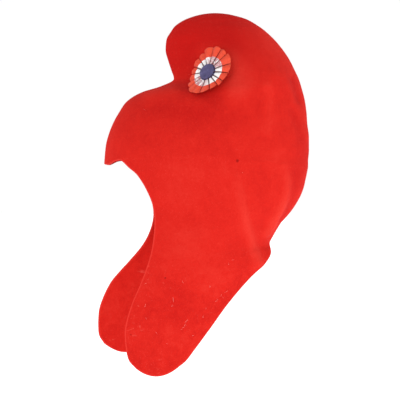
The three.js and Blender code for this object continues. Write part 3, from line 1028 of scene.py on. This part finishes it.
# The roll of felt behind the rosette. Its foot follows the crown.
def cockadePost(material):
    bm = bmesh.new()
    bmesh.ops.create_cone(bm, cap_ends=True, segments=post["segments"], radius1=post["radius"],
                          radius2=post["radius"], depth=1)
    upright = [edge for edge in bm.edges if abs(edge.verts[0].co.z - edge.verts[1].co.z) > 0.5]
    bmesh.ops.subdivide_edges(bm, edges=upright, cuts=post["rings"])
    for vert in bm.verts:
        x, y, share = vert.co.x, vert.co.y, 0.5 - vert.co.z
        top = rosettePlace @ Vector((x * mm, y * mm, 0))
        foot = leftFelt.ray_cast(top, -facing)[1]
        length = (foot - top).length / mm + post["sunk"] - post["behind"]
        drawn = 1 - post["waist"] * 4 * share * (1 - share)
        vert.co = (x * drawn, y * drawn, -post["behind"] - share * length)
    bmesh.ops.recalc_face_normals(bm, faces=bm.faces)
    return placedPiece("cockade_post", bm, material)


bpy.context.view_layer.update()     # so that the felt can be met by a ray
postPiece = cockadePost(postMaterial())
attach(postPiece, "root")
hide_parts("cockade_post")
print("cockade made")


# camera and framing
view = {
    "target": (0, -8 * mm, -139 * mm),
    "azimuth": 87,
    "elevation": 1.5,
    "distance": 1.2,
    "seenWidth": 0.48,      # across the picture, at the target
    "sensor": 36,
    "nearest": 0.01,
    "farthest": 100,
}

# light round the cap; lamps are placed from the target, in metres
studio = {
    "horizon": 1.01,        # the room's light near the horizon and overhead
    "zenith": 0.7,
    "horizonTop": 0.2,      # heights between which it fades, as parts of straight up
    "zenithFrom": 0.5,
    "lamps": [
        # name, position, size, watts
        ("faceLight", (1.6, -1.1, -0.1), 1.1, 5.5),
        ("napeLight", (1.0, 1.75, -0.2), 0.9, 9),
    ],
    "floorDrop": 0.14,
    "floorSize": 16,
    "floorGlow": 0.64,      # a lit table top
}


def stageMaterial():
    s = Shader("pale_floor_paint")
    place = s.node("ShaderNodeTexCoord", output="Object")
    grain = s.noise(place, 3, 2, 0.5)
    return s.finish({
        "Base Color": s.mix(grain, (0.93, 0.93, 0.93), (0.95, 0.95, 0.95)),
        "Roughness": 0.9,
        "Specular IOR Level": 0.1,
        "Emission Color": (1, 1, 1, 1),
        "Emission Strength": studio["floorGlow"],
    })


def stageFloor():
    bm = bmesh.new()
    size = studio["floorSize"] / 2
    bmesh.ops.create_grid(bm, x_segments=1, y_segments=1, size=size)
    lowest = cadBox[0].z - studio["floorDrop"]
    bmesh.ops.translate(bm, vec=(0, 0, lowest), verts=bm.verts)
    floor = newObject("floor", bm, stageMaterial(), smooth=False)


def towards(azimuth, elevation):
    a, e = math.radians(azimuth), math.radians(elevation)
    return Vector((math.sin(a) * math.cos(e), -math.cos(a) * math.cos(e), math.sin(e)))


def placeCamera():
    data = bpy.data.cameras.new("camera")
    data.sensor_width = view["sensor"]
    data.lens = view["sensor"] / 2 / (view["seenWidth"] / 2 / view["distance"])
    data.clip_start = view["nearest"]
    data.clip_end = view["farthest"]
    camera = bpy.data.objects.new("camera", data)
    bpy.context.collection.objects.link(camera)
    back = towards(view["azimuth"], view["elevation"])
    camera.location = Vector(view["target"]) + back * view["distance"]
    camera.rotation_euler = (-back).to_track_quat("-Z", "Y").to_euler()
    bpy.context.scene.camera = camera


def placeLamps():
    target = Vector(view["target"])
    for name, offset, size, watts in studio["lamps"]:
        data = bpy.data.lights.new(name, "AREA")
        data.shape = "DISK"
        data.size = size
        data.energy = watts
        lamp = bpy.data.objects.new(name, data)
        bpy.context.collection.objects.link(lamp)
        lamp.location = target + Vector(offset)
        lamp.rotation_euler = (-Vector(offset)).to_track_quat("-Z", "Y").to_euler()


# White light from all round, a little weaker overhead.
def lightRoom():
    world = bpy.data.worlds.new("studio")
    world.use_nodes = True
    nodes, links = world.node_tree.nodes, world.node_tree.links
    direction = nodes.new("ShaderNodeTexCoord")
    split = nodes.new("ShaderNodeSeparateXYZ")
    fade = nodes.new("ShaderNodeMapRange")
    fade.interpolation_type = "SMOOTHSTEP"
    fade.inputs["From Min"].default_value = studio["horizonTop"]
    fade.inputs["From Max"].default_value = studio["zenithFrom"]
    fade.inputs["To Min"].default_value = studio["horizon"]
    fade.inputs["To Max"].default_value = studio["zenith"]
    links.new(direction.outputs["Generated"], split.inputs[0])
    links.new(split.outputs["Z"], fade.inputs["Value"])
    links.new(fade.outputs[0], nodes["Background"].inputs["Strength"])
    nodes["Background"].inputs["Color"].default_value = (1, 1, 1, 1)
    bpy.context.scene.world = world
    bpy.context.scene.view_settings.view_transform = "Standard"


stageFloor()
placeCamera()
placeLamps()
lightRoom()
print("studio set")
